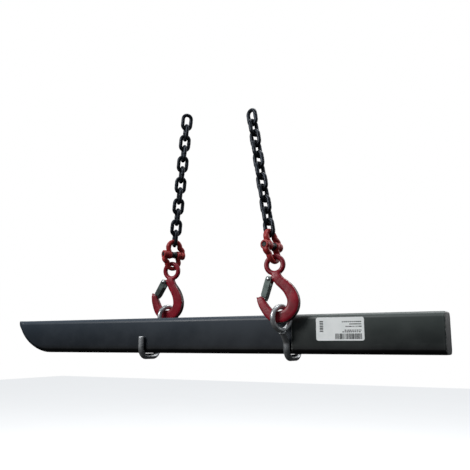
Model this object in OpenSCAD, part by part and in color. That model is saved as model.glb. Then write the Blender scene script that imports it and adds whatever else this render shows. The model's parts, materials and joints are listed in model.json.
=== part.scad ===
// Spreader beam: two-section box beam on two bar hooks, sling hooks, couplings and chain legs.
// Units are mm. X runs along the beam from the nose tip, -Y is the labelled face, Z is up.

/* [Beam] */
// Height of both beam sections
beam_h = 72; // [66:1:80]
// Depth of the long section, front to back
long_d = 48; // [44:1:50]
// Depth of the labelled end section, front to back
end_d = 56; // [52:1:60]
// Overall length of the beam
beam_l = 975; // [900:5:1100]
// Distance from the nose tip to the step between the sections
step_x = 703; // [650:1:740]
// Length of the curved nose
nose_l = 95; // [80:1:110]
// Wall thickness of the box sections
wall = 4; // [3:0.5:5]
// Outer corner radius of the box sections
corner_r = 9.5; // [8:0.5:10]

/* [Joint between sections] */
// Play between the inner tube and the long section
spigot_gap = 0.4; // [0.2:0.1:1]
// How far the inner tube reaches into the long section
spigot_in = 130; // [80:5:180]
// Nominal size of the clamping screws
screw_d = 10; // [8:1:12]

/* [Label] */
// Length of the label plate
label_l = 88; // [60:1:100]
// Height of the label plate
label_h = 41; // [30:1:46]

/* [Bar hooks] */
// Diameter of the bar
bar_d = 12; // [10:1:12]
// Centre-line radius of the two bends
bend_r = 17.5; // [17:0.5:18]
// Centre-line radius of the ring
ring_r = 21; // [21:0.5:22]
// Diameter of the ring's bar
ring_d = 10; // [9:0.5:10]
// Position of the left bar hook along the beam
left_x = 367; // [320:1:420]
// Position of the right bar hook along the beam
right_x = 694.5; // [600:0.5:694.5]

/* [Sling hooks] */
// Radius inside the bowl
bowl_r = 15.5; // [15.5:0.5:17]
// Thickness of the bowl from inside to outside
bowl_h = 23.5; // [20:0.5:24]
// Thickness of the bowl from side to side
bowl_w = 15; // [14:1:17]
// Distance from the bowl's load point to the centre of the eye
hook_l = 80; // [78:1:90]

/* [Couplings] */
// Distance between the centre lines of the two crowns
coupling_l = 61; // [58:1:66]
// Width over the lugs
coupling_w = 52; // [50:1:54]

/* [Chain] */
// Wire diameter of the chain
wire_d = 8; // [7:0.5:8]
// Pitch of the chain
pitch = 24; // [24:0.5:26]
// Links on the left leg
left_links = 12;
// Links on the right leg
right_links = 11;

/* [Hidden] */
$fn = 48;
play = 0.3;
fit = 0.05;
half_h = beam_h / 2;
mid_x = (left_x + right_x) / 2;
left_lean = [3.5, 8];
right_lean = [-4, -10.3];
bar_r = bar_d / 2;
rod_y = long_d / 2 + bar_r + 0.5;
bar_low = -half_h - bar_r - 1;
tip_z = -2;
kink_z = -14;
// ring centres of the bar hooks: distance out, height, distance aside
left_ring = [49, 42, -12];
right_ring = [52, 28, 0];
ring_turn = 65;
left_hook_turn = 5;
right_hook_turn = 8;
left_coupling_turn = 62;
right_coupling_turn = 80;
left_link_turn = 138;
right_link_turn = -16;
bowl_x = -2;
bowl_z = 8.2;
eye_r = 16;
eye_wire = 4.75;
crown_r = 14;
crown_wire = 4.6;
lug_r = 9;
load_pin_r = 5;
left_eye_drop = 10.9;
right_eye_drop = 9.8;
link_drop = 0.4;
link_r = wire_d / 2;
link_bend = 9.2;
link_in = pitch + play;
latch_pivot = [-14, 54];
latch_pin_r = 2.5;
neck_w = 13;

// the origin lies on the beam's centre line, midway between the two bar hooks
module place() translate([-mid_x, 0, 0]) children();

// ---- box sections -----------------------------------------------------------

// rounded rectangle, depth along X of the sketch and height along Y
module rounded(d, h, r) {
    square([d - 2 * r, h], center = true);
    square([d, h - 2 * r], center = true);
    for (sx = [-1, 1], sy = [-1, 1])
        translate([sx * (d / 2 - r), sy * (h / 2 - r)]) circle(r);
}

// solid bar of rounded section running along X
module bar_x(x0, x1, d, h, r) {
    translate([x0, 0, 0]) rotate([90, 0, 90]) linear_extrude(x1 - x0) rounded(d, h, r);
}

module tube_x(x0, x1, d, h, r, t) {
    difference() {
        bar_x(x0, x1, d, h, r);
        bar_x(x0 - 1, x1 + 1, d - 2 * t, h - 2 * t, max(r - t, 1));
    }
}

// side view of the nose, grown inwards by t from its curved underside
nose_steps = 20;
nose_power = 1.75;
function nose_z(x) = half_h - 2 - (beam_h - 2) * pow(1 - pow(1 - x / nose_l, nose_power), 1 / nose_power);
function nose_point(i, t) =
    let (a = i / nose_steps, x = nose_l * a * a)
    [x + t * (1 - a), nose_z(x) + t];
module nose_side(t) {
    polygon(concat([[nose_l + 1, half_h + 1], [t, half_h + 1]],
        [for (i = [0 : nose_steps]) nose_point(i, t)],
        [[nose_l + 1, -half_h + t]]));
}
module nose_block(t, d) {
    translate([0, d / 2, 0]) rotate([90, 0, 0]) linear_extrude(d) nose_side(t);
}

module nose_shell() {
    color("#2b2f35") place()
    difference() {
        intersection() {
            bar_x(0, nose_l, long_d, beam_h, corner_r);
            nose_block(0, long_d + 2);
        }
        bar_x(-1, nose_l + 1, long_d - 2 * wall, beam_h - 2 * wall, corner_r - wall);
    }
}

module nose_plate() {
    color("#2b2f35") place()
    intersection() {
        difference() {
            nose_block(0, long_d);
            nose_block(wall, long_d + 2);
            translate([nose_l - 14, -long_d, -beam_h]) cube([40, 2 * long_d, beam_h]);
        }
        bar_x(0, nose_l, long_d - 2 * wall, beam_h - 2 * wall, corner_r - wall);
    }
}

module long_tube() {
    color("#2b2f35") place()
    difference() {
        tube_x(nose_l, step_x, long_d, beam_h, corner_r, wall);
        for (x = screw_places) screw_way(x, screw_d / 2 + 0.5);
    }
}

screw_places = [step_x - 90, step_x - 30];
screw_z = 14;
module screw_way(x, r) {
    translate([x, long_d / 2 - wall - 1, screw_z]) rotate([-90, 0, 0]) cylinder(r = r, h = wall + 30);
}

boss_h = 10;
boss_r = 10;
module clamp_bosses() {
    color("#2b2f35") place()
    for (x = screw_places) difference() {
        translate([x, long_d / 2, screw_z]) rotate([-90, 0, 0]) cylinder(r = boss_r, h = boss_h);
        screw_way(x, screw_d / 2 + 0.1);
    }
}

screw_head_h = 7;
module clamp_screws() {
    inner_y = long_d / 2 - wall - spigot_gap;
    color("#8d9094") place()
    for (x = screw_places) translate([x, inner_y, screw_z]) rotate([-90, 0, 0]) {
        cylinder(r = screw_d / 2, h = long_d / 2 + boss_h + 1.5 - inner_y);
        translate([0, 0, long_d / 2 + boss_h + 1.4 - inner_y])
            cylinder(r = screw_d * 0.95, h = screw_head_h, $fn = 6);
    }
}

spigot_d = long_d - 2 * wall - 2 * spigot_gap;
spigot_h = beam_h - 2 * wall - 2 * spigot_gap;
plate_t = 8;
cap_t = 5;
module inner_tube() {
    color("#4a4c4e") place()
    tube_x(step_x - spigot_in, step_x + 110, spigot_d, spigot_h, corner_r - wall, wall);
}

// collar welded in the mouth of the end section, around the inner tube
module step_plate() {
    color("#34363a") place()
    difference() {
        bar_x(step_x + 0.5, step_x + plate_t, end_d - 2 * wall, beam_h - 2 * wall, corner_r - wall);
        bar_x(step_x - 1, step_x + plate_t + 1, spigot_d, spigot_h, corner_r - wall);
    }
}

// second collar, steadying the inner tube inside the end section
rear_x = step_x + 96;
module rear_plate() {
    color("#34363a") place()
    difference() {
        bar_x(rear_x, rear_x + plate_t, end_d - 2 * wall, beam_h - 2 * wall, corner_r - wall);
        bar_x(rear_x - 1, rear_x + plate_t + 1, spigot_d, spigot_h, corner_r - wall);
    }
}

module end_tube() {
    color("#34363a") place()
    tube_x(step_x + 0.5, beam_l - cap_t, end_d, beam_h, corner_r, wall);
}

module end_plate() {
    color("#34363a") place()
    bar_x(beam_l - cap_t, beam_l, end_d, beam_h, corner_r);
}

label_t = 0.6;
label_r = 4;
module label_plate() {
    color("#eceae6") place()
    translate([step_x + 49 + label_l / 2, -end_d / 2, 8.5]) rotate([90, 0, 0])
        linear_extrude(label_t) rounded(label_l, label_h, label_r);
}

// ---- bar hooks --------------------------------------------------------------

// quarter bend in the XZ plane, its centre at [x, z], starting at angle a
module bend(x, z, r, wire, a, sweep) {
    translate([x, 0, z]) rotate([90, 0, 0]) rotate([0, 0, a])
        rotate_extrude(angle = sweep) translate([r, 0]) circle(wire);
}

// round bar from point a to point b
module rod(a, b, r) {
    d = b - a;
    len = norm(d);
    translate(a) rotate([0, acos(d[2] / len), atan2(d[1], d[0])]) cylinder(r = r, h = len);
}

// bar hook in the XZ plane, free end at -X; ring = [distance out, height, distance aside]
module bar_hook(ring) {
    flat = rod_y - bend_r;
    turn = bar_low + bend_r;
    foot = [rod_y, 0, kink_z];
    low = [ring[0] - 1, ring[2], ring[1] - ring_r];
    rod([-rod_y, 0, turn], [-rod_y, 0, tip_z], bar_r);
    bend(-flat, turn, bend_r, bar_r, 180, 90);
    rod([-flat, 0, bar_low], [flat, 0, bar_low], bar_r);
    bend(flat, turn, bend_r, bar_r, 270, 90);
    rod([rod_y, 0, turn], foot, bar_r);
    translate(foot) sphere(bar_r + 0.3);
    rod(foot, low, bar_r);
    translate(low) sphere(bar_r + 0.4);
}

module hook_ring(ring, turn) {
    translate([ring[0], ring[2], ring[1]]) rotate([0, 0, turn]) rotate([90, 0, 0])
        rotate_extrude() translate([ring_r, 0]) circle(ring_d / 2);
}

module left_bar_hook() {
    color("#8f9296") place()
    translate([left_x, 0, 0]) rotate([0, 0, 90]) {
        bar_hook(left_ring);
        hook_ring(left_ring, ring_turn - 90);
    }
}

module right_bar_hook() {
    color("#8f9296") place()
    translate([right_x, 0, 0]) rotate([0, 0, -90]) {
        bar_hook(right_ring);
        hook_ring(right_ring, ring_turn - 90);
    }
}

// ---- legs -------------------------------------------------------------------

// frame of each leg: origin in the ring's top wire, Z along the leg
module on_left(turn, s) {
    place() translate([left_x - left_ring[2], left_ring[0], left_ring[1] + ring_r])
        rotate([left_lean[0], left_lean[1], 0]) rotate([0, 0, turn]) translate([0, 0, s]) children();
}
module on_right(turn, s) {
    place() translate([right_x + right_ring[2], -right_ring[0], right_ring[1] + ring_r])
        rotate([right_lean[0], right_lean[1], 0]) rotate([0, 0, turn]) translate([0, 0, s]) children();
}

// ---- sling hook -------------------------------------------------------------

// flat outline in the XZ plane, thickness w along Y
module slab(w) {
    translate([0, w / 2, 0]) rotate([90, 0, 0]) linear_extrude(w) children();
}

bowl_mid = bowl_r + bowl_h / 2;
module bowl_section(w) {
    translate([bowl_mid, 0]) {
        square([bowl_h - w, w], center = true);
        for (s = [-1, 1]) translate([s * (bowl_h - w) / 2, 0]) circle(w / 2);
    }
}

back_top = 42;
tip_out = [-43.5, 21];
module sling_hook() {
    difference() {
        union() {
            // bowl from the root of the tip, under the load, to the back
            translate([bowl_x, 0, bowl_z]) rotate([90, 0, 0]) rotate([0, 0, 200])
                rotate_extrude(angle = 188) bowl_section(bowl_w);
            // back, rising to the neck
            slab(neck_w) difference() {
                polygon([[bowl_r + bowl_x + 1, bowl_z], [bowl_r + bowl_h + bowl_x - 1, bowl_z],
                    [34, 24], [26, 37], [15, 49], [9, 60], [8, 68], [-8, 68], [-10, 60],
                    [-16, 60], [-18.5, 54], [-15, 49], [-8, 46], [4, 37], [11, 26]]);
                translate([bowl_x, bowl_z]) circle(bowl_r + 0.5);
            }
            // tip, tapering to its point
            slab(bowl_w - 4) polygon([[-37, -4], tip_out, tip_out + [1.5, 1.5], [-38, 20.5],
                [-30, 18], [-15, 2], [-22, -10]]);
            // eye
            translate([0, 0, hook_l]) rotate([90, 0, 0])
                rotate_extrude() translate([eye_r, 0]) circle(eye_wire);
        }
        translate([bowl_x, 0, bowl_z]) rotate([90, 0, 0]) cylinder(r = bowl_r - 0.5, h = 60, center = true);
        translate([latch_pivot[0], 0, latch_pivot[1]]) rotate([90, 0, 0])
            cylinder(r = latch_pin_r + fit, h = 60, center = true);
        translate([0, 0, hook_l]) rotate([90, 0, 0]) cylinder(r = eye_r - eye_wire, h = 60, center = true);
    }
}

// latch: two cheeks beside the neck joined by a web, lying from the pivot to the tip
latch_l = 39.8;
latch_t = 2;
cheek_in = neck_w / 2 + play;
latch_angle = atan2(-37, -18);
module latch() {
    difference() {
        translate([latch_pivot[0], 0, latch_pivot[1]]) rotate([0, -latch_angle, 0]) {
            for (s = [-1, 1]) translate([0, s * (cheek_in + latch_t / 2), 0])
                rotate([90, 0, 0]) linear_extrude(latch_t, center = true) {
                    circle(6);
                    translate([0, -6]) square([latch_l - 5, 12]);
                }
            // web on the throat side, closing on the inner face of the tip
            translate([10, -cheek_in - 0.1, 4]) cube([latch_l - 10, 2 * cheek_in + 0.2, latch_t]);
        }
        translate([latch_pivot[0], 0, latch_pivot[1]]) rotate([90, 0, 0])
            cylinder(r = latch_pin_r + fit, h = 60, center = true);
    }
}

module latch_pin() {
    half = cheek_in + latch_t + 0.2;
    translate([latch_pivot[0], 0, latch_pivot[1]]) rotate([90, 0, 0]) {
        cylinder(r = latch_pin_r, h = 2 * half, center = true);
        for (s = [-1, 1]) translate([0, 0, s * (half + 0.7)]) cylinder(r = 4, h = 1.6, center = true);
    }
}

// latch spring: a flat strip on the latch's web, pressing inside the cheeks
module latch_spring() {
    translate([latch_pivot[0], 0, latch_pivot[1]]) rotate([0, -latch_angle, 0])
        translate([11, -cheek_in + 1, 3]) cube([18, 2 * cheek_in - 2, 0.9]);
}

module left_sling_hook() { color("#a3203a") on_left(left_hook_turn, 0) sling_hook(); }
module left_latch() { color("#5c6660") on_left(left_hook_turn, 0) latch(); }
module left_latch_pin() { color("#9a9da0") on_left(left_hook_turn, 0) latch_pin(); }
module left_latch_spring() { color("#9a9da0") on_left(left_hook_turn, 0) latch_spring(); }
module right_sling_hook() { color("#a3203a") on_right(right_hook_turn, 0) sling_hook(); }
module right_latch() { color("#5c6660") on_right(right_hook_turn, 0) latch(); }
module right_latch_pin() { color("#9a9da0") on_right(right_hook_turn, 0) latch_pin(); }
module right_latch_spring() { color("#9a9da0") on_right(right_hook_turn, 0) latch_spring(); }

// ---- coupling ---------------------------------------------------------------

left_crown = hook_l + eye_r - left_eye_drop;
right_crown = hook_l + eye_r - right_eye_drop;
lug_gap = 0.3;
sleeve_half = 6.6;
lug_in = [sleeve_half + lug_gap, 16.2];
lug_out = [16.2 + lug_gap, coupling_w / 2];

// one half, crown down at the origin, pin axis at half the coupling's length;
// its lug is outside on the left and inside on the right
module coupling_half() {
    pin_z = coupling_l / 2;
    arm_z = crown_r;
    difference() {
        union() {
            bend(0, crown_r, crown_r, crown_wire, 180, 180);
            rod([-crown_r, 0, arm_z - 0.1], [-(lug_out[0] + lug_out[1]) / 2 + 0.4, 0, pin_z - 4], crown_wire);
            rod([crown_r, 0, arm_z - 0.1], [(lug_in[0] + lug_in[1]) / 2 + 0.2, 0, pin_z - 4], crown_wire - 0.2);
            for (s = [-1, 1]) translate([s * crown_r, 0, arm_z]) sphere(crown_wire);
            translate([-lug_out[1], 0, pin_z]) rotate([0, 90, 0])
                cylinder(r = lug_r, h = lug_out[1] - lug_out[0]);
            translate([lug_in[0], 0, pin_z]) rotate([0, 90, 0])
                cylinder(r = lug_r, h = lug_in[1] - lug_in[0]);
        }
        translate([0, 0, pin_z]) rotate([0, 90, 0]) cylinder(r = load_pin_r + fit, h = 80, center = true);
        // room for the other half's lugs
        translate([-lug_out[0], 0, pin_z]) rotate([0, 90, 0]) cylinder(r = lug_r + play, h = lug_out[0]);
        translate([lug_in[1], 0, pin_z]) rotate([0, 90, 0]) cylinder(r = lug_r + play, h = lug_out[1]);
    }
}
module upper_half() {
    translate([0, 0, coupling_l]) rotate([0, 180, 0]) coupling_half();
}
module load_pin() {
    translate([0, 0, coupling_l / 2]) rotate([0, 90, 0])
        cylinder(r = load_pin_r, h = coupling_w - 1, center = true);
}
module sleeve() {
    translate([0, 0, coupling_l / 2]) rotate([0, 90, 0]) difference() {
        cylinder(r = 7.5, h = 2 * sleeve_half, center = true);
        cylinder(r = load_pin_r + fit, h = 30, center = true);
    }
}

module left_coupling_lower() { color("#b23a4a") on_left(left_coupling_turn, left_crown) coupling_half(); }
module left_coupling_upper() { color("#b23a4a") on_left(left_coupling_turn, left_crown) upper_half(); }
module left_load_pin() { color("#3a3c3e") on_left(left_coupling_turn, left_crown) load_pin(); }
module left_sleeve() { color("#55585a") on_left(left_coupling_turn, left_crown) sleeve(); }
module right_coupling_lower() { color("#b23a4a") on_right(right_coupling_turn, right_crown) coupling_half(); }
module right_coupling_upper() { color("#b23a4a") on_right(right_coupling_turn, right_crown) upper_half(); }
module right_load_pin() { color("#3a3c3e") on_right(right_coupling_turn, right_crown) load_pin(); }
module right_sleeve() { color("#55585a") on_right(right_coupling_turn, right_crown) sleeve(); }

// ---- chain ------------------------------------------------------------------

// one link in the XZ plane, centred on the origin
straight = link_in - 2 * (link_bend - link_r);
module link() {
    bend(0, straight / 2, link_bend, link_r, 0, 180);
    bend(0, -straight / 2, link_bend, link_r, 180, 180);
    for (s = [-1, 1])
        rod([s * link_bend, 0, -straight / 2], [s * link_bend, 0, straight / 2], link_r);
}

// height of the first link's centre above the coupling's lower crown line
first_link = coupling_l - crown_wire - play + link_in / 2 - link_drop;
module left_link(i) {
    color("#25272b")
    on_left(left_link_turn + 90 * (i % 2), left_crown + first_link + pitch * i) link();
}
module right_link(i) {
    color("#25272b")
    on_right(right_link_turn + 90 * (i % 2), right_crown + first_link + pitch * i) link();
}

nose_shell();
nose_plate();
long_tube();
inner_tube();
step_plate();
rear_plate();
end_tube();
end_plate();
label_plate();
clamp_bosses();
clamp_screws();
left_bar_hook();
right_bar_hook();
left_sling_hook();
left_latch();
left_latch_pin();
left_latch_spring();
right_sling_hook();
right_latch();
right_latch_pin();
right_latch_spring();
left_coupling_lower();
left_coupling_upper();
left_load_pin();
left_sleeve();
right_coupling_lower();
right_coupling_upper();
right_load_pin();
right_sleeve();
left_link(0);  // left_link_01
left_link(1);  // left_link_02
left_link(2);  // left_link_03
left_link(3);  // left_link_04
left_link(4);  // left_link_05
left_link(5);  // left_link_06
left_link(6);  // left_link_07
left_link(7);  // left_link_08
left_link(8);  // left_link_09
left_link(9);  // left_link_10
left_link(10);  // left_link_11
left_link(11);  // left_link_12
right_link(0);  // right_link_01
right_link(1);  // right_link_02
right_link(2);  // right_link_03
right_link(3);  // right_link_04
right_link(4);  // right_link_05
right_link(5);  // right_link_06
right_link(6);  // right_link_07
right_link(7);  // right_link_08
right_link(8);  // right_link_09
right_link(9);  // right_link_10
right_link(10);  // right_link_11
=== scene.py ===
import json
import math

import bmesh
import bpy
from mathutils import Matrix, Vector


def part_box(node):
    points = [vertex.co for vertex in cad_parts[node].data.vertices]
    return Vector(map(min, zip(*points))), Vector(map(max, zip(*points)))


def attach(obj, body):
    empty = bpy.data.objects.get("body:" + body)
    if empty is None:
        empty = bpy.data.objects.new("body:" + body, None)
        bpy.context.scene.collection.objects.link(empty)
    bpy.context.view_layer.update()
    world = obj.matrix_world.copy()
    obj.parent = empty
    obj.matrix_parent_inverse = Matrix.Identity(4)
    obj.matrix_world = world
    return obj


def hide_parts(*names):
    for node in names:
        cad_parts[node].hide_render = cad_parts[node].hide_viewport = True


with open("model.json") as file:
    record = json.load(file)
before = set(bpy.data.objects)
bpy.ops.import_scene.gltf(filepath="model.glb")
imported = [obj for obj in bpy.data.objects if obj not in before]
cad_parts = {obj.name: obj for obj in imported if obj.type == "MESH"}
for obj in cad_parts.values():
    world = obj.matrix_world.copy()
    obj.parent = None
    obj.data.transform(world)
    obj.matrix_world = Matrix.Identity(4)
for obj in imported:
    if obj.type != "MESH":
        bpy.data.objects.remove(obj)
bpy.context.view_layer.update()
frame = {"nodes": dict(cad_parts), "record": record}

record = frame["record"]
mm = 0.001
jointOf = {joint["name"]: joint for joint in record["behaviour"]["joints"]}
mountOf = {mount["name"]: mount for mount in record["mounts"]}
sides = ("left", "right")
print("frame loaded,", len(frame["nodes"]), "CAD nodes")


# camera, light and floor

view = {
    "place": (0.5974, -1.0575, -0.019),  # metres, in the object's frame
    "azimuth": 27.74,  # degrees round from straight at the labelled face
    "pitch": 10.43,  # degrees up
    "lens": 45.64,
    "floorHeight": -0.62,
    "floorSize": 16.0,
}


def aim(place, target):  # turn that points an object's -Z from place to target
    return (Vector(target) - Vector(place)).to_track_quat("-Z", "Y").to_euler()


def addObject(name, data):
    holder = bpy.data.objects.new(name, data)
    bpy.context.scene.collection.objects.link(holder)
    return holder


def makeCamera():
    azimuth = math.radians(view["azimuth"])
    pitch = math.radians(view["pitch"])
    level = math.cos(pitch)
    forward = Vector((-math.sin(azimuth) * level, math.cos(azimuth) * level, math.sin(pitch)))
    camera = addObject("camera", bpy.data.cameras.new("camera"))
    camera.data.lens = view["lens"]
    camera.data.clip_start = 0.05
    camera.location = view["place"]
    camera.rotation_euler = aim(view["place"], Vector(view["place"]) + forward)
    bpy.context.scene.camera = camera


lights = {
    # name: (place, target, width, height, watts), lengths in metres
    "skyPanel": ((0.2, 0.5, 2.3), (0.0, 0.0, 0.1), 2.4, 1.6, 52),
    "frontPanel": ((-1.2, -2.3, 1.5), (0.0, 0.0, 0.1), 1.2, 1.2, 62),
    "rimPanel": ((1.2, 2.0, 0.9), (0.1, 0.0, 0.15), 0.5, 1.4, 12),
}


def srgb(code):  # sRGB hex to the linear colour that shaders use
    values = [int(code[i:i + 2], 16) / 255 for i in (1, 3, 5)]
    linear = [v / 12.92 if v <= 0.04045 else ((v + 0.055) / 1.055) ** 2.4 for v in values]
    return (*linear, 1.0)


def addNode(tree, kind, inputs=None, **settings):  # a node with its settings, values and links
    node = tree.nodes.new(kind if "Node" in kind else "ShaderNode" + kind)
    for name, value in settings.items():
        setattr(node, name, value)
    for key, value in (inputs or {}).items():
        if isinstance(value, bpy.types.Node):
            value = value.outputs[0]
        if isinstance(value, bpy.types.NodeSocket):
            tree.links.new(value, node.inputs[key])
        else:
            node.inputs[key].default_value = value
    return node


def makeLight():
    for name, (place, target, width, height, watts) in lights.items():
        lamp = bpy.data.lights.new(name, "AREA")
        lamp.shape = "RECTANGLE"
        lamp.size = width
        lamp.size_y = height
        lamp.energy = watts
        holder = addObject(name, lamp)
        holder.location = place
        holder.rotation_euler = aim(place, target)
    world = bpy.data.worlds.new("paleRoom")
    world.use_nodes = True
    tree = world.node_tree
    tree.nodes.clear()
    seen = addNode(tree, "Background", {"Color": srgb("#ffffff"), "Strength": 1.0})
    around = addNode(tree, "TexCoord").outputs["Generated"]
    way = addNode(tree, "SeparateXYZ", {0: around})
    height = addNode(tree, "MapRange", {0: way.outputs["Z"], 1: -0.25, 2: 0.8, 3: 0.02, 4: 0.5})
    soft = addNode(tree, "Background", {"Color": srgb("#e9eff6"), "Strength": height})
    ray = addNode(tree, "LightPath")
    both = addNode(tree, "MixShader", {
        0: ray.outputs["Is Camera Ray"], 1: soft, 2: seen})
    addNode(tree, "OutputWorld", {"Surface": both})
    bpy.context.scene.world = world
    bpy.context.scene.view_settings.view_transform = "Standard"


# meshes: rings of points joined into closed skins

def addLoft(shape, rings, loop=False):  # rings run anticlockwise about the way they follow
    rows = [[shape.verts.new(point) for point in ring] for ring in rings]
    pairs = list(zip(rows, rows[1:])) + ([(rows[-1], rows[0])] if loop else [])
    for near, far in pairs:
        for i in range(len(near)):
            j = (i + 1) % len(near)
            shape.faces.new((near[i], near[j], far[j], far[i]))
    if not loop:
        shape.faces.new(list(reversed(rows[0])))
        shape.faces.new(rows[-1])


def finishMesh(name, shape, sharpAngle=None):
    bmesh.ops.recalc_face_normals(shape, faces=shape.faces)
    mesh = bpy.data.meshes.new(name)
    shape.to_mesh(mesh)
    shape.free()
    mesh.shade_smooth()
    if sharpAngle:
        mesh.set_sharp_from_angle(angle=math.radians(sharpAngle))
    return mesh


def roundedRing(x, halfDepth, low, high, radius, steps=8):  # rounded rectangle across X
    r = min(radius, (high - low) / 2.02, halfDepth / 1.01)
    ring = []
    for corner, (ySign, zSign) in enumerate(((1, 1), (-1, 1), (-1, -1), (1, -1))):
        middle = Vector((x, ySign * (halfDepth - r), high - r if zSign > 0 else low + r))
        for i in range(steps + 1):
            angle = math.radians(90 * corner + 90 * i / steps)
            ring.append(middle + r * Vector((0, math.cos(angle), math.sin(angle))))
    return ring


def softCircle(angle, power):  # point of a rounded square of size 1; power 2 is a circle
    c, s = math.cos(angle), math.sin(angle)
    return math.copysign(abs(c) ** (2 / power), c), math.copysign(abs(s) ** (2 / power), s)


def ringsAlong(path, inPlane, across, power=2.0, count=24, loop=False):  # path lies in the XZ plane
    rings = []
    last = len(path) - 1
    for i, point in enumerate(path):
        before = path[i - 1] if i or loop else path[0]
        after = path[(i + 1) % len(path)] if i < last or loop else path[last]
        way = (after - before).normalized()
        side = Vector((way.z, 0, -way.x))
        a = inPlane[i] if isinstance(inPlane, list) else inPlane
        b = across[i] if isinstance(across, list) else across
        ring = []
        for k in range(count):
            u, v = softCircle(2 * math.pi * k / count, power)
            ring.append(point + side * (u * a) + Vector((0, v * b, 0)))
        rings.append(ring)
    return rings


def arcPath(x, z, radius, start, end, steps):  # arc in the XZ plane, angles in degrees
    path = []
    for i in range(steps + 1):
        angle = math.radians(start + (end - start) * i / steps)
        path.append(Vector((x + radius * math.cos(angle), 0, z + radius * math.sin(angle))))
    return path


def throughStations(stations, steps=6):  # smooth run through rows of numbers
    rows = []
    for i in range(len(stations) - 1):
        p0, p1 = stations[max(i - 1, 0)], stations[i]
        p2, p3 = stations[i + 1], stations[min(i + 2, len(stations) - 1)]
        for k in range(steps):
            t = k / steps
            rows.append([0.5 * (2 * b + (c - a) * t + (2 * a - 5 * b + 4 * c - d) * t * t
                                + (3 * b - a - 3 * c + d) * t ** 3)
                         for a, b, c, d in zip(p0, p1, p2, p3)])
    rows.append(list(stations[-1]))
    return rows


def addRun(shape, stations, place, steps, power, count):  # bar through rows of x, z and two half sizes
    rows = throughStations(stations, steps)
    path = [Vector((x, 0, z)) for x, z, _, _ in rows]
    rings = ringsAlong(path, [row[2] for row in rows], [row[3] for row in rows], power, count)
    addLoft(shape, moved(scaled(rings), place))


def turnedRings(profile, count=40, hexagon=0.0):  # profile is (distance along X, radius)
    rings = []
    for distance, radius in profile:
        ring = []
        for k in range(count):
            angle = 2 * math.pi * k / count
            fromFlat = (angle + math.pi / 6) % (math.pi / 3) - math.pi / 6
            reach = min(radius, hexagon / math.cos(fromFlat)) if hexagon else radius
            ring.append(Vector((distance, reach * math.cos(angle), reach * math.sin(angle))))
        rings.append(ring)
    return rings


def scaled(rings, size=mm):
    return [[point * size for point in ring] for ring in rings]


def moved(rings, matrix):
    return [[matrix @ point for point in ring] for ring in rings]


def turnedMesh(name, profile, place, count, loop=False):
    shape = bmesh.new()
    addLoft(shape, moved(scaled(turnedRings(profile, count)), place), loop)
    return finishMesh(name, shape, 35)


def fuse(name, shape, voxel, rounds):  # melts overlapping skins into one forging with soft joins
    rough = finishMesh(name + "Rough", shape)
    holder = addObject(name + "Rough", rough)
    remesh = holder.modifiers.new("melt", "REMESH")
    remesh.mode = "VOXEL"
    remesh.voxel_size = voxel
    remesh.use_smooth_shade = True
    soften = holder.modifiers.new("soften", "SMOOTH")
    soften.factor = 0.5
    soften.iterations = rounds
    return bake(holder, name)


def bake(holder, name):  # the holder's evaluated shape as a plain mesh
    bpy.context.view_layer.update()
    graph = bpy.context.evaluated_depsgraph_get()
    mesh = bpy.data.meshes.new_from_object(holder.evaluated_get(graph), depsgraph=graph)
    mesh.name = name
    old = holder.data
    bpy.data.objects.remove(holder)
    bpy.data.meshes.remove(old)
    return mesh


def setWear(mesh, values):
    mesh.attributes.new("wear", "FLOAT", "POINT").data.foreach_set("value", values)


def markWear(mesh, spots):  # spots are (centre, reach): 1 at the centre, fading to 0
    values = []
    for vertex in mesh.vertices:
        near = 0.0
        for centre, reach in spots:
            near = max(near, 1 - (vertex.co - centre).length / reach)
        values.append(near)
    setWear(mesh, values)


def atPlace(place, spots):  # wear spots given in millimetres along a piece's own axes
    return [(place @ (Vector(centre) * mm), reach * mm) for centre, reach in spots]


def axesAt(origin, xAxis, yAxis, zAxis):  # matrix that lays a piece's own axes along these
    return Matrix.Translation(origin) @ Matrix((xAxis, yAxis, zAxis)).transposed().to_4x4()


def putPiece(name, mesh, body, material, stands=()):
    mesh.materials.clear()
    mesh.materials.append(material)
    mesh.name = name
    piece = addObject(name, mesh)
    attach(piece, body)
    if stands:
        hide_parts(*stands)
    return piece


# materials

def startMaterial(name):
    material = bpy.data.materials.new(name)
    material.use_nodes = True
    tree = material.node_tree
    tree.nodes.clear()
    shader = addNode(tree, "BsdfPrincipled")
    addNode(tree, "OutputMaterial", {"Surface": shader})
    spot = addNode(tree, "TexCoord").outputs["Object"]
    return material, tree, shader, spot


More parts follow.
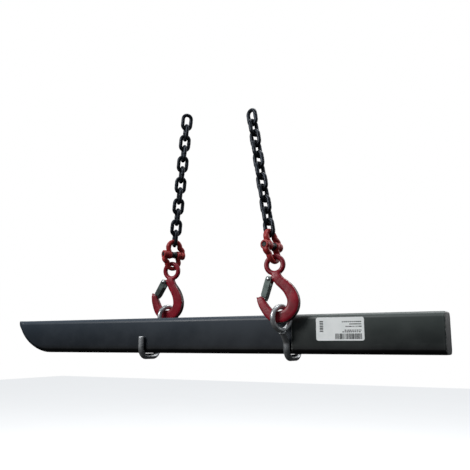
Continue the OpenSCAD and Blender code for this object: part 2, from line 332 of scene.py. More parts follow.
def boxPaint(name, look):  # enamel sprayed on box tube: satin; painted highlight lighter towards the top, painted shade towards the bottom and on the +X end faces
    material, tree, shader, spot = startMaterial(name)
    cloud = addNode(tree, "TexNoise", {
        "Vector": spot, "Scale": 1 / (look["cloudSize"] * mm), "Detail": 5.0, "Roughness": 0.6})
    dust = addNode(tree, "MapRange", {0: cloud, 1: 0.42, 2: 0.72, 3: 0.0, 4: look["dust"]})
    colour = addNode(tree, "Mix", {
        0: dust, 6: srgb(look["paint"]), 7: srgb(look["dustColour"])}, data_type="RGBA")
    place = addNode(tree, "SeparateXYZ", {0: spot})
    # painted highlight: towards the top of the beam the colour is mixed to the look's lighter top colour
    upper = addNode(tree, "MapRange", {0: place.outputs["Z"], 1: -0.026, 2: 0.036})
    topLightShare = addNode(tree, "Math", {0: upper, 1: 1.6}, operation="POWER")
    paintedTopLight = addNode(tree, "Mix", {
        0: topLightShare, 6: colour.outputs[2], 7: srgb(look["paintedTopLight"])}, data_type="RGBA")
    # painted shade: along the bottom of the beam the colour is mixed to near black
    foot = addNode(tree, "MapRange", {0: place.outputs["Z"], 1: -0.028, 2: -0.019, 3: 1.0, 4: 0.0})
    paintedBottomShade = addNode(tree, "Mix", {
        0: foot, 6: paintedTopLight.outputs[2], 7: srgb("#030405")}, data_type="RGBA")
    normal = addNode(tree, "TexCoord").outputs["Normal"]
    facing = addNode(tree, "SeparateXYZ", {0: normal})  # painted shade: faces turned to +X, the cut ends, are darkened to near black
    endFaceShade = addNode(tree, "MapRange", {0: facing.outputs["X"], 1: 0.75, 2: 0.95})
    across = 1 / (1.6 * mm)
    drawn = addNode(tree, "Mapping", {"Vector": spot, "Scale": (1 / (140 * mm), across, across)})
    lines = addNode(tree, "TexNoise", {"Vector": drawn, "Scale": 1.0, "Detail": 2.0})
    scratch = addNode(tree, "MapRange", {0: lines, 1: 0.68, 2: 0.78, 3: 0.0, 4: 0.35})
    scuffed = addNode(tree, "Mix", {
        0: scratch, 6: paintedBottomShade.outputs[2], 7: srgb(look["scratchColour"])}, data_type="RGBA")
    chips = addNode(tree, "TexNoise", {"Vector": spot, "Scale": 1 / (4 * mm), "Detail": 4.0})
    rubbed = addNode(tree, "Attribute", attribute_name="wear")
    edge = addNode(tree, "Math", {0: rubbed.outputs["Fac"], 1: chips}, operation="MULTIPLY")
    bare = addNode(tree, "MapRange", {0: edge, 1: 0.26, 2: 0.42, 3: 0.0, 4: 0.8})
    worn = addNode(tree, "Mix", {
        0: bare, 6: scuffed.outputs[2], 7: srgb(look["edgeColour"])}, data_type="RGBA")
    # painted shade on the +X end faces
    withPaintedEndShade = addNode(tree, "Mix", {
        0: endFaceShade, 6: worn.outputs[2], 7: srgb("#050606")}, data_type="RGBA")
    tree.links.new(withPaintedEndShade.outputs[2], shader.inputs["Base Color"])
    shader.inputs["Specular IOR Level"].default_value = 0.35
    gloss = addNode(tree, "MapRange", {
        0: cloud, 1: 0.3, 2: 0.7, 3: look["roughness"] - 0.07, 4: look["roughness"] + 0.09})
    tree.links.new(gloss.outputs[0], shader.inputs["Roughness"])
    peel = addNode(tree, "TexNoise", {"Vector": spot, "Scale": 1 / (2.2 * mm), "Detail": 3.0})
    bump = addNode(tree, "Bump", {"Height": peel, "Strength": 0.25, "Distance": 0.12 * mm})
    tree.links.new(bump.outputs[0], shader.inputs["Normal"])
    return material


def forgedPaint(name, look):  # thick powder coat on a drop forging: pitted skin, chips, bare rubbed spots, painted shade on the outer flank and a painted highlight line of bare steel along its edge
    material, tree, shader, spot = startMaterial(name)
    cloud = addNode(tree, "TexNoise", {"Vector": spot, "Scale": 1 / (16 * mm), "Detail": 5.0})
    tone = addNode(tree, "MapRange", {0: cloud, 1: 0.32, 2: 0.7})
    paint = addNode(tree, "Mix", {
        0: tone, 6: srgb(look["paint"]), 7: srgb(look["faded"])}, data_type="RGBA")
    specks = addNode(tree, "TexNoise", {
        "Vector": spot, "Scale": 1 / (3.2 * mm), "Detail": 6.0, "Roughness": 0.7})
    # on the sling hooks the wear attribute also holds a painted highlight line along the flank's edge
    rubbed = addNode(tree, "Attribute", attribute_name="wear")
    pushed = addNode(tree, "Math", {0: rubbed.outputs["Fac"], 1: look["rubbing"]}, operation="MULTIPLY")
    level = addNode(tree, "Math", {0: specks, 1: pushed}, operation="ADD")
    chipped = addNode(tree, "MapRange", {
        0: level, 1: look["chipFrom"], 2: look["chipFrom"] + 0.05})
    steel = addNode(tree, "Mix", {
        0: cloud, 6: srgb(look["rust"]), 7: srgb(look["steel"])}, data_type="RGBA")
    # painted shade: the hook's outer flank is mixed to near black
    shadeOnFlank = addNode(tree, "Attribute", attribute_name="paintedFlankShade")
    flankDarkening = addNode(tree, "MapRange", {0: shadeOnFlank.outputs["Fac"], 1: 0.3, 2: 0.7, 3: 0.0, 4: 0.92})
    withShadedFlank = addNode(tree, "Mix", {
        0: flankDarkening, 6: paint.outputs[2], 7: srgb("#0c0b0c")}, data_type="RGBA")
    colour = addNode(tree, "Mix", {
        0: chipped, 6: withShadedFlank.outputs[2], 7: steel.outputs[2]}, data_type="RGBA")
    tree.links.new(colour.outputs[2], shader.inputs["Base Color"])
    metal = addNode(tree, "Math", {0: chipped, 1: 0.85}, operation="MULTIPLY")
    tree.links.new(metal.outputs[0], shader.inputs["Metallic"])
    gloss = addNode(tree, "MapRange", {
        0: specks, 1: 0.3, 2: 0.75, 3: look["roughness"] - 0.1, 4: look["roughness"] + 0.14})
    tree.links.new(gloss.outputs[0], shader.inputs["Roughness"])
    shader.inputs["Specular IOR Level"].default_value = 0.3
    fine = addNode(tree, "Bump", {"Height": specks, "Strength": 0.35, "Distance": 0.35 * mm})
    lumps = addNode(tree, "Bump", {
        "Height": cloud, "Strength": 0.5, "Distance": 1.2 * mm, "Normal": fine})
    tree.links.new(lumps.outputs[0], shader.inputs["Normal"])
    return material


def bareMetal(name, look):  # plated or bare steel: cloudy bloom, fine grain, lighter where rubbed
    material, tree, shader, spot = startMaterial(name)
    bloom = addNode(tree, "TexNoise", {
        "Vector": spot, "Scale": 1 / (look["bloomSize"] * mm), "Detail": 6.0, "Roughness": 0.65})
    tone = addNode(tree, "MapRange", {0: bloom, 1: 0.3, 2: 0.7})
    colour = addNode(tree, "Mix", {
        0: tone, 6: srgb(look["dark"]), 7: srgb(look["light"])}, data_type="RGBA")
    rubbed = addNode(tree, "Attribute", attribute_name="wear")
    shine = addNode(tree, "MapRange", {0: rubbed.outputs["Fac"], 1: 0.25, 2: 0.75})
    worn = addNode(tree, "Mix", {
        0: shine, 6: colour.outputs[2], 7: srgb(look["rubbed"])}, data_type="RGBA")
    tree.links.new(worn.outputs[2], shader.inputs["Base Color"])
    shader.inputs["Metallic"].default_value = look["metallic"]
    gloss = addNode(tree, "MapRange", {
        0: bloom, 1: 0.3, 2: 0.7, 3: look["roughness"] - 0.1, 4: look["roughness"] + 0.12})
    tree.links.new(gloss.outputs[0], shader.inputs["Roughness"])
    grain = addNode(tree, "TexNoise", {
        "Vector": spot, "Scale": 1 / (look["grainSize"] * mm), "Detail": 3.0})
    bump = addNode(tree, "Bump", {
        "Height": grain, "Strength": 0.4, "Distance": look["grainDepth"] * mm})
    tree.links.new(bump.outputs[0], shader.inputs["Normal"])
    return material


def labelFilm(name):  # white polyester film: smooth, slightly glossy, with handling smudges
    material, tree, shader, spot = startMaterial(name)
    smudge = addNode(tree, "TexNoise", {"Vector": spot, "Scale": 1 / (18 * mm), "Detail": 5.0})
    amount = addNode(tree, "MapRange", {0: smudge, 1: 0.45, 2: 0.75, 3: 0.0, 4: 0.55})
    colour = addNode(tree, "Mix", {
        0: amount, 6: srgb("#fbfefd"), 7: srgb("#e4ebe9")}, data_type="RGBA")
    tree.links.new(colour.outputs[2], shader.inputs["Base Color"])
    shader.inputs["Roughness"].default_value = 0.34
    weave = addNode(tree, "TexNoise", {"Vector": spot, "Scale": 1 / (6 * mm), "Detail": 2.0})
    bump = addNode(tree, "Bump", {"Height": weave, "Strength": 0.15, "Distance": 0.1 * mm})
    tree.links.new(bump.outputs[0], shader.inputs["Normal"])
    return material


def labelInk(name):  # thermal-transfer ink: matt dark grey, slightly patchy
    material, tree, shader, spot = startMaterial(name)
    patch = addNode(tree, "TexNoise", {"Vector": spot, "Scale": 1 / (1.5 * mm), "Detail": 3.0})
    colour = addNode(tree, "Mix", {
        0: patch, 6: srgb("#14171a"), 7: srgb("#33383b")}, data_type="RGBA")
    tree.links.new(colour.outputs[2], shader.inputs["Base Color"])
    shader.inputs["Roughness"].default_value = 0.6
    return material


def floorPaper(name):  # plain matt background paper that throws little light back up
    material, tree, shader, spot = startMaterial(name)
    fibre = addNode(tree, "TexNoise", {"Vector": spot, "Scale": 1 / 0.4, "Detail": 3.0})
    colour = addNode(tree, "Mix", {
        0: fibre, 6: srgb("#f4f4f3"), 7: srgb("#fafaf9")}, data_type="RGBA")
    tree.links.new(colour.outputs[2], shader.inputs["Base Color"])
    shader.inputs["Roughness"].default_value = 0.9
    shader.inputs["Emission Color"].default_value = srgb("#ffffff")
    shader.inputs["Emission Strength"].default_value = 0.5
    dim = addNode(tree, "BsdfDiffuse", {"Color": srgb("#2a2a2a")})
    ray = addNode(tree, "LightPath")
    both = addNode(tree, "MixShader", {
        0: ray.outputs["Is Camera Ray"], 1: dim, 2: shader})
    tree.links.new(both.outputs[0], tree.nodes["Material Output"].inputs["Surface"])
    return material


# each look's top colour is a painted highlight laid on the upper part of the beam
bluePaint = boxPaint("blueBlackEnamel", {
    "paint": "#12181f", "dustColour": "#1c242c", "dust": 0.6, "paintedTopLight": "#2f3943",
    "scratchColour": "#3d444a", "edgeColour": "#777c80", "cloudSize": 60, "roughness": 0.4})
greyPaint = boxPaint("warmBlackEnamel", {
    "paint": "#151a1a", "dustColour": "#272d2c", "dust": 0.65, "paintedTopLight": "#454d4b",
    "scratchColour": "#44494a", "edgeColour": "#9a9b98", "cloudSize": 45, "roughness": 0.4})
hookPaint = forgedPaint("crimsonPowderCoat", {
    "paint": "#6e0719", "faded": "#951629", "steel": "#c9c6c3", "rust": "#6b625d",
    "rubbing": 0.42, "chipFrom": 0.7, "roughness": 0.34})
couplingPaint = forgedPaint("wornVermilionCoat", {
    "paint": "#87161c", "faded": "#b23f3c", "steel": "#8a6f6a", "rust": "#2e2322",
    "rubbing": 0.3, "chipFrom": 0.66, "roughness": 0.4})
barPlating = bareMetal("galvanisedRoundBar", {  # bright zinc on drawn bar: pale, with soft highlights
    "dark": "#85898b", "light": "#cfd1d2", "rubbed": "#f0f0f0", "metallic": 0.75,
    "roughness": 0.34, "bloomSize": 14, "grainSize": 1.2, "grainDepth": 0.06})
latchPlating = bareMetal("passivatedZincSheet", {  # dull green-grey plate with brighter handled edges
    "dark": "#39413f", "light": "#5f6966", "rubbed": "#a9afac", "metallic": 0.75,
    "roughness": 0.42, "bloomSize": 10, "grainSize": 1.0, "grainDepth": 0.05})
pinPlating = bareMetal("phosphatedPinSteel", {  # dark grey phosphate on hardened pins
    "dark": "#1e2021", "light": "#3a3d3e", "rubbed": "#8c8e8f", "metallic": 0.8,
    "roughness": 0.4, "bloomSize": 6, "grainSize": 0.8, "grainDepth": 0.04})
chainBlack = bareMetal("blackOxideChainSteel", {  # blue-black heat-treated alloy chain
    "dark": "#111419", "light": "#2a3038", "rubbed": "#6f757c", "metallic": 0.7,
    "roughness": 0.36, "bloomSize": 9, "grainSize": 1.4, "grainDepth": 0.08})
screwPlating = bareMetal("zincPlatedScrewSteel", {  # bright zinc on machined screws
    "dark": "#74787a", "light": "#b4b7b8", "rubbed": "#d8dada", "metallic": 0.95,
    "roughness": 0.28, "bloomSize": 8, "grainSize": 0.7, "grainDepth": 0.02})
film = labelFilm("whitePolyesterFilm")
ink = labelInk("matteTransferInk")
print("materials made")


# box sections

longSection = {
    "tipHeight": 2.0,  # millimetres, as every size below
    "nosePower": 1.75,
    "cornerRadius": 9.5,
    "wall": 4.0,
    "edgeRadius": 0.7,
    "tipRounding": 3.0,
    "wornWidth": 2.5,
    "noseSteps": 44,
}


def noseLow(x, length, halfHeight):  # underside of the curved nose, x from its tip
    rise = longSection["tipHeight"] * mm
    power = longSection["nosePower"]
    share = 1 - (1 - x / length) ** power
    return halfHeight - rise - (2 * halfHeight - rise) * share ** (1 / power)


def noseRing(tip, x, length, halfDepth, halfHeight, steps=8):
    # section of the nose: its lower corners are rounded square to the curved underside
    small = 0.0002
    radius = longSection["cornerRadius"] * mm
    low = noseLow(x, length, halfHeight)
    ahead = noseLow(min(x + small, length), length, halfHeight)
    way = Vector((small, 0, ahead - low)).normalized()
    inward = Vector((-way.z, 0, way.x))
    r = min(radius, (halfHeight - low) * 0.47)
    rounding = longSection["tipRounding"] * mm
    if x < rounding:
        halfDepth -= rounding * (1 - math.sqrt(1 - (1 - x / rounding) ** 2))
    top = Vector((tip + x + inward.x * r, 0, halfHeight))
    foot = Vector((tip + x, 0, low))
    rTop = min(radius, (halfHeight - low - inward.z * r) * 0.5)
    ring = []
    for corner, ySign in ((0, 1), (1, -1), (2, -1), (3, 1)):
        for i in range(steps + 1):
            angle = math.radians(90 * corner + 90 * i / steps)
            y, z = math.cos(angle), math.sin(angle)
            if corner < 2:
                ring.append(top + Vector((0, ySign * (halfDepth - rTop) + y * rTop, (z - 1) * rTop)))
            else:
                ring.append(foot + inward * (r + z * r) + Vector((0, ySign * (halfDepth - r) + y * r, 0)))
    return ring


def ringWear(mesh, edges, reach):  # wear near the planes X = edges
    values = []
    for vertex in mesh.vertices:
        near = min(abs(vertex.co.x - edge) for edge in edges)
        values.append(max(0.0, 1 - near / reach))
    setWear(mesh, values)


def makeLongSection():
    low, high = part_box("nose_shell")
    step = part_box("long_tube")[1].x
    halfDepth = high.y
    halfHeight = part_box("long_tube")[1].z
    length = high.x - low.x
    radius = longSection["cornerRadius"] * mm
    wall = longSection["wall"] * mm
    edge = longSection["edgeRadius"] * mm
    count = longSection["noseSteps"]
    rings = []
    for i in range(count + 1):
        rings.append(noseRing(low.x, length * (i / count) ** 2, length, halfDepth, halfHeight))
    for back in (longSection["wornWidth"] * mm, edge):
        rings.append(roundedRing(step - back, halfDepth, -halfHeight, halfHeight, radius))
    for i in range(1, 5):
        inset = edge * (1 - math.cos(math.radians(22.5 * i)))
        x = step - edge + edge * math.sin(math.radians(22.5 * i))
        rings.append(roundedRing(
            x, halfDepth - inset, inset - halfHeight, halfHeight - inset, radius - inset))
    inner = [roundedRing(x, halfDepth - wall, wall - halfHeight, halfHeight - wall, radius - wall)
             for x in (step, low.x + length)]
    shape = bmesh.new()
    addLoft(shape, rings + inner)
    mesh = finishMesh("longSection", shape, 50)
    ringWear(mesh, (low.x, step), longSection["wornWidth"] * mm)
    piece = putPiece("long_section", mesh, "beam", bluePaint, ("nose_shell", "nose_plate", "long_tube"))
    piece.modifiers.new("evenShading", "WEIGHTED_NORMAL").keep_sharp = True


endSection = {
    "cornerRadius": 9.5,
    "wall": 4.0,
    "mouthRadius": 1.0,
    "endRadius": 2.2,
    "wornWidth": 2.6,
    "seamDepth": 0.25,  # ground weld between the tube and its end plate
    "seamWidth": 1.2,
}


def makeEndSection():
    low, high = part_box("end_tube")
    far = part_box("end_plate")[1].x
    halfDepth, halfHeight = high.y, high.z
    radius = endSection["cornerRadius"] * mm
    wall = endSection["wall"] * mm
    mouth = endSection["mouthRadius"] * mm
    rounded = endSection["endRadius"] * mm
    seam = high.x
    half = endSection["seamWidth"] * mm / 2

    def ringAt(x, inset):
        corner = max(radius - inset, 1 * mm)
        return roundedRing(x, halfDepth - inset, inset - halfHeight, halfHeight - inset, corner)

    rings = [ringAt(seam, wall), ringAt(low.x, wall)]
    for i in range(5):
        angle = math.radians(90 - 22.5 * i)
        rings.append(ringAt(low.x + mouth * (1 - math.sin(angle)), mouth * (1 - math.cos(angle))))
    worn = endSection["wornWidth"] * mm
    rings.append(ringAt(low.x + worn, 0))
    for x, inset in ((seam - half, 0), (seam, endSection["seamDepth"] * mm), (seam + half, 0)):
        if x < far - worn:
            rings.append(ringAt(x, inset))
    for i in range(7):
        angle = math.radians(15 * i)
        rings.append(ringAt(far - rounded + rounded * math.sin(angle), rounded * (1 - math.cos(angle))))
    shape = bmesh.new()
    addLoft(shape, rings)
    mesh = finishMesh("endSection", shape, 60)
    ringWear(mesh, (low.x, far), worn)
    piece = putPiece("end_section", mesh, "beam", greyPaint, ("end_tube", "end_plate"))
    piece.modifiers.new("evenShading", "WEIGHTED_NORMAL").keep_sharp = True


clampScrew = {
    "acrossFlats": 17.0,
    "headHeight": 6.4,
    "washerRadius": 9.3,
    "shankRadius": 5.0,
    "bossRadius": 10.0,
    "bossHeight": 10.0,
    "chamfer": 1.0,
}


def makeClamps():
    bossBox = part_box("clamp_bosses")
    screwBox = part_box("clamp_screws")
    middle = (bossBox[0] + bossBox[1]) / 2
    reach = (bossBox[1].x - bossBox[0].x) / 2 - clampScrew["bossRadius"] * mm
    chamfer = clampScrew["chamfer"]
    r, h = clampScrew["bossRadius"], clampScrew["bossHeight"]
    bore = clampScrew["shankRadius"] + 0.2
    boss = [(-1, bore), (-1, r), (h - chamfer, r), (h - chamfer * 0.3, r - chamfer * 0.3), (h, r - chamfer),
            (h, bore + 0.6), (h - 0.6, bore)]
    bossShape = bmesh.new()
    screwShape = bmesh.new()
    out, up, along = Vector((0, 1, 0)), Vector((0, 0, 1)), Vector((1, 0, 0))
    flats = clampScrew["acrossFlats"] / 2
    wide = flats / math.cos(math.pi / 6)
    top = clampScrew["headHeight"]
    for x in (middle.x - reach, middle.x + reach):
        base = axesAt((x, bossBox[1].y - h * mm, middle.z), out, up, along)
        addLoft(bossShape, moved(scaled(turnedRings(boss, 48)), base), loop=True)
        head = axesAt((x, bossBox[1].y + 0.1 * mm, middle.z), out, up, along)
        shank = clampScrew["shankRadius"]
        stem = (bossBox[1].y - screwBox[0].y) / mm
        body = [(-stem, shank - 0.8), (0.8 - stem, shank), (0, shank), (0, clampScrew["washerRadius"]),
                (1.0, clampScrew["washerRadius"]), (1.3, clampScrew["washerRadius"] - 0.4), (1.3, flats)]
        addLoft(screwShape, moved(scaled(turnedRings(body, 48)), head))
        cap = [(1.2, flats - 0.2), (1.3, flats), (2.1, wide), (top, wide), (top + 0.9, flats),
               (top + 1.2, flats - 1.2)]
        addLoft(screwShape, moved(scaled(turnedRings(cap, 72, flats)), head))
    bosses = finishMesh("bosses", bossShape, 40)
    screws = finishMesh("screws", screwShape, 35)
    putPiece("clamp_boss_pair", bosses, "beam", bluePaint, ("clamp_bosses",))
    putPiece("clamp_screw_pair", screws, "beam", screwPlating, ("clamp_screws",))


# weld beads and printed bars come from node trees

def newTree(name, sizes):  # a geometry tree with one named number for each size
    tree = bpy.data.node_groups.new(name, "GeometryNodeTree")
    for size, value in sizes.items():
        kind = "NodeSocketInt" if isinstance(value, int) else "NodeSocketFloat"
        tree.interface.new_socket(size, in_out="INPUT", socket_type=kind).default_value = value
    tree.interface.new_socket("Material", in_out="INPUT", socket_type="NodeSocketMaterial")
    tree.interface.new_socket("Geometry", in_out="OUTPUT", socket_type="NodeSocketGeometry")
    given = addNode(tree, "NodeGroupInput").outputs
    return tree, given


def growMesh(tree, name, values, material):  # the tree's result as a plain mesh
    holder = addObject(name, bpy.data.meshes.new(name))
    grow = holder.modifiers.new("grow", "NODES")
    grow.node_group = tree
    for item in tree.interface.items_tree:
        if item.in_out == "INPUT" and item.name in values:
            grow[item.identifier] = values[item.name]
        elif item.in_out == "INPUT" and item.name == "Material":
            grow[item.identifier] = material
    return bake(holder, name)


def endTree(tree, shape, given):
    real = addNode(tree, "GeometryNodeRealizeInstances", {0: shape})
    painted = addNode(tree, "GeometryNodeSetMaterial", {0: real, "Material": given["Material"]})
    addNode(tree, "NodeGroupOutput", {0: painted})


def weldTree():  # a ring of weld metal with the ripple of each drop
    tree, given = newTree("weldBead", {"Radius": 0.01, "Thickness": 0.002, "Drops": 40, "Ripple": 0.16})
    circle = addNode(tree, "GeometryNodeCurvePrimitiveCircle", {"Resolution": 160, "Radius": given["Radius"]})
    share = addNode(tree, "GeometryNodeSplineParameter")
    turns = addNode(tree, "Math", {0: share.outputs["Factor"], 1: given["Drops"]}, operation="MULTIPLY")
    angle = addNode(tree, "Math", {0: turns, 1: 2 * math.pi}, operation="MULTIPLY")
    wave = addNode(tree, "Math", {0: angle}, operation="SINE")
    swell = addNode(tree, "Math", {0: wave, 1: given["Ripple"], 2: 1.0}, operation="MULTIPLY_ADD")
    radius = addNode(tree, "Math", {0: swell, 1: given["Thickness"]}, operation="MULTIPLY")
    profile = addNode(tree, "GeometryNodeCurvePrimitiveCircle", {"Resolution": 12, "Radius": 1.0})
    bead = addNode(tree, "GeometryNodeCurveToMesh", {
        0: circle, 1: profile, "Scale": radius})
    endTree(tree, bead.outputs[0], given)
    return tree


def linkTree():  # one chain link: bar bent to a long ring, with its flash-weld swelling on one side
    tree, given = newTree("chainLink", {
        "Wire": 0.004, "Bend": 0.0092, "Straight": 0.0139, "Weld": 0.1, "Weld Spread": 0.002})
    width = addNode(tree, "Math", {0: given["Bend"], 1: 2.0}, operation="MULTIPLY")
    height = addNode(tree, "Math", {0: width, 1: given["Straight"]}, operation="ADD")
    box = addNode(tree, "GeometryNodeCurvePrimitiveQuadrilateral", {
        "Width": width, "Height": height})
    bend = addNode(tree, "Math", {0: given["Bend"], 1: 0.9999}, operation="MULTIPLY")
    bent = addNode(tree, "GeometryNodeFilletCurve", {
        0: box, "Radius": bend, "Limit Radius": True, "Count": 12}, mode="POLY")
    even = addNode(tree, "GeometryNodeResampleCurve", {0: bent, "Count": 84})
    place = addNode(tree, "SeparateXYZ", {0: addNode(tree, "GeometryNodeInputPosition").outputs[0]})
    near = addNode(tree, "Math", {0: place.outputs["Y"], 1: given["Weld Spread"]}, operation="DIVIDE")
    squared = addNode(tree, "Math", {0: near, 1: near}, operation="MULTIPLY")
    minus = addNode(tree, "Math", {0: squared, 1: -1.0}, operation="MULTIPLY")
    hill = addNode(tree, "Math", {0: minus}, operation="EXPONENT")
    oneSide = addNode(tree, "Math", {0: place.outputs["X"], 1: 0.0}, operation="GREATER_THAN")
    swell = addNode(tree, "Math", {0: hill, 1: oneSide}, operation="MULTIPLY")
    more = addNode(tree, "Math", {0: swell, 1: given["Weld"], 2: 1.0}, operation="MULTIPLY_ADD")
    radius = addNode(tree, "Math", {0: more, 1: given["Wire"]}, operation="MULTIPLY")
    profile = addNode(tree, "GeometryNodeCurvePrimitiveCircle", {"Resolution": 20, "Radius": 1.0})
    bar = addNode(tree, "GeometryNodeCurveToMesh", {
        0: even, 1: profile, "Scale": radius})
    endTree(tree, bar.outputs[0], given)
    return tree


def barsTree():  # a row of printed bars of mixed widths and gaps
    tree, given = newTree("printedBars", {
        "Count": 30, "Spacing": 0.001, "Height": 0.004, "Thinnest": 0.0003, "Thickest": 0.0008,
        "Thickness": 0.00004, "Seed": 1})
    offset = addNode(tree, "CombineXYZ", {"X": given["Spacing"]})
    line = addNode(tree, "GeometryNodeMeshLine", {
        "Count": given["Count"], "Offset": offset}, mode="OFFSET")
    width = addNode(tree, "FunctionNodeRandomValue", {
        2: given["Thinnest"], 3: given["Thickest"], "Seed": given["Seed"]}, data_type="FLOAT")
    size = addNode(tree, "CombineXYZ", {
        "X": width.outputs[1], "Y": given["Height"], "Z": given["Thickness"]})
    block = addNode(tree, "GeometryNodeMeshCube", {"Size": (1.0, 1.0, 1.0)})
    bars = addNode(tree, "GeometryNodeInstanceOnPoints", {
        0: line, "Instance": block, "Scale": size})
    endTree(tree, bars.outputs[0], given)
    return tree


label = {
    "barcode": {"left": 0.41, "bottom": 0.06, "width": 0.55, "height": 0.24, "count": 40},
    "lines": (  # start, end and height of each ruled line, as shares of the label
        (0.55, 0.93, 0.37), (0.60, 0.95, 0.44), (0.62, 0.95, 0.60), (0.70, 0.95, 0.70), (0.54, 0.95, 0.80)),
    "lineHeight": 0.045,
    "inkDepth": 0.02,
    "mark": {"left": 0.115, "bottom": 0.36, "top": 0.86, "width": 0.075, "count": 7},
}


def makeLabel():
    low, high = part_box("label_plate")
    width, height = high.x - low.x, high.z - low.z
    node = frame["nodes"]["label_plate"]
    node.data.materials.clear()
    node.data.materials.append(film)
    tree = barsTree()
    flat = Vector((1, 0, 0)), Vector((0, 0, 1)), Vector((0, -1, 0))
    upright = Vector((0, 0, 1)), Vector((-1, 0, 0)), Vector((0, -1, 0))
    shape = bmesh.new()

    def addPrint(x, z, axes, count, spacing, tall, thinnest, thickest, seed):  # thicknesses as shares of spacing
        mesh = growMesh(tree, "printRow", {
            "Count": count, "Spacing": spacing, "Height": tall, "Thinnest": spacing * thinnest,
            "Thickest": spacing * thickest, "Seed": seed}, ink)
        mesh.transform(axesAt((x, low.y - label["inkDepth"] * mm, z), *axes))
        shape.from_mesh(mesh)
        bpy.data.meshes.remove(mesh)

    code = label["barcode"]
    spacing = code["width"] * width / code["count"]
    codeUp = (code["bottom"] + code["height"] / 2) * height
    addPrint(low.x + code["left"] * width, low.z + codeUp, flat,
             code["count"], spacing, code["height"] * height, 0.25, 1.05, 4)
    for number, (start, end, up) in enumerate(label["lines"]):
        count = 9 + number % 3
        spacing = (end - start) * width / count
        addPrint(low.x + (start * width) + spacing / 2, low.z + up * height, flat,
                 count, spacing, label["lineHeight"] * height, 0.5, 0.92, 11 + number)
    mark = label["mark"]
    spacing = (mark["top"] - mark["bottom"]) * height / mark["count"]
    addPrint(low.x + mark["left"] * width, low.z + mark["bottom"] * height + spacing / 2, upright,
             mark["count"], spacing, mark["width"] * width, 0.55, 0.8, 27)
    mesh = bpy.data.meshes.new("labelPrint")
    shape.to_mesh(mesh)
    shape.free()
    putPiece("label_print", mesh, "beam", ink)


# bar hooks

barHook = {
    "barRadius": 6.0,
    "ringWire": 5.0,
    "ringRadius": 21.0,
    "bendRadius": 17.5,
    "lowest": -43.0,  # centre line under the beam
    "tipHeight": -2.0,
    "kinkHeight": -14.0,
    "kinkReach": 5.0,
    "ringTurn": -25.0,  # degrees between the ring and the hook's own plane
    "ringAside": {"left": -12.0, "right": 0.0},  # ring's distance from the hook's own plane
    "voxel": 0.7,
    "weldDrops": 11,
    "weldThickness": 1.5,
    "weldBelow": 3.6,  # from the ring's lowest point, down the shank
}


def makeBarHook(side):
    sizes = barHook
    swing = jointOf[side + "_hook_swing"]
    ringTop = Vector(swing["pos_m"]) / mm
    towards = math.copysign(1, ringTop.y)
    rod = abs(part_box(side + "_bar_hook")[0 if towards > 0 else 1].y) / mm - sizes["barRadius"]
    r = sizes["bendRadius"]
    flat = rod - r
    turn = sizes["lowest"] + r
    ringOut = abs(ringTop.y)
    ringUp = ringTop.z - sizes["ringRadius"]
    tipUp = sizes["tipHeight"]
    path = [Vector((-rod, 0, z)) for z in (tipUp, tipUp - 1, (turn + tipUp) / 2)]
    path += arcPath(-flat, turn, r, 180, 270, 14)
    path += arcPath(flat, turn, r, 270, 360, 14)
    foot = Vector((rod, 0, sizes["kinkHeight"]))
    low = Vector((ringOut - 1, 0, ringUp - sizes["ringRadius"]))
    bendStart = foot - Vector((0, 0, sizes["kinkReach"]))
    bendEnd = foot + (low - foot).normalized() * sizes["kinkReach"]
    for i in range(7):
        t = i / 6
        path.append(bendStart * (1 - t) ** 2 + foot * 2 * t * (1 - t) + bendEnd * t * t)
    path.append(low)
    radii = [sizes["barRadius"]] * len(path)
    radii[0] -= 1.0
    radii[-1] = sizes["ringWire"] + 0.3
    aside = sizes["ringAside"][side]
    place = axesAt((swing["pos_m"][0] + towards * aside * mm, 0, 0),
                   Vector((0, towards, 0)), Vector((-towards, 0, 0)), Vector((0, 0, 1)))
    rings = ringsAlong(path, radii, radii, count=28)
    for point, ring in zip(path, rings):  # the shank leans aside as it rises from the kink to the ring
        share = max(0.0, (point.z - foot.z) / (low.z - foot.z)) if point.x > flat else 0.0
        for corner in ring:
            corner.y += aside * share
    shape = bmesh.new()
    addLoft(shape, moved(scaled(rings), place))
    ring = arcPath(0, 0, sizes["ringRadius"], 0, 360, 72)[:-1]
    swivel = (Matrix.Translation((ringOut * mm, aside * mm, ringUp * mm))
              @ Matrix.Rotation(math.radians(sizes["ringTurn"]), 4, "Z"))
    addLoft(shape, moved(scaled(ringsAlong(ring, sizes["ringWire"], sizes["ringWire"], count=24, loop=True)),
                         place @ swivel), loop=True)
    mesh = fuse(side + "BarHook", shape, sizes["voxel"] * mm, 5)
    tip = place @ (path[0] * mm)
    saddle = place @ swivel @ Vector((0, 0, (sizes["ringRadius"] - sizes["ringWire"]) * mm))
    markWear(mesh, [(tip + Vector((0, 0, 2 * mm)), 7 * mm), (saddle, 9 * mm)])
    putPiece(side + "_round_bar", mesh, side + "_bar_hook", barPlating, (side + "_bar_hook",))
    bead = growMesh(weldTree(), "ringWeld", {
        "Radius": (sizes["barRadius"] - 0.2) * mm, "Thickness": sizes["weldThickness"] * mm,
        "Drops": sizes["weldDrops"], "Ripple": 0.14}, barPlating)
    low.y = aside
    rise = (low - foot).normalized()
    way = place.to_3x3() @ rise
    across = way.orthogonal().normalized()
    bead.transform(axesAt(place @ ((low - rise * sizes["weldBelow"]) * mm), across, way.cross(across), way))
    putPiece(side + "_ring_weld", bead, side + "_bar_hook", barPlating)


# sling hooks

def legUp(side):
    return Vector(mountOf["hoist_" + side]["axis"]).normalized()


def hookPlace(side):  # origin at the load point, X towards the hook's back, Z up the leg
    swing = jointOf[side + "_hook_swing"]
    across = Vector(swing["axis"]).normalized()
    up = legUp(side)
    return axesAt(Vector(swing["pos_m"]), across.cross(up), across, up)


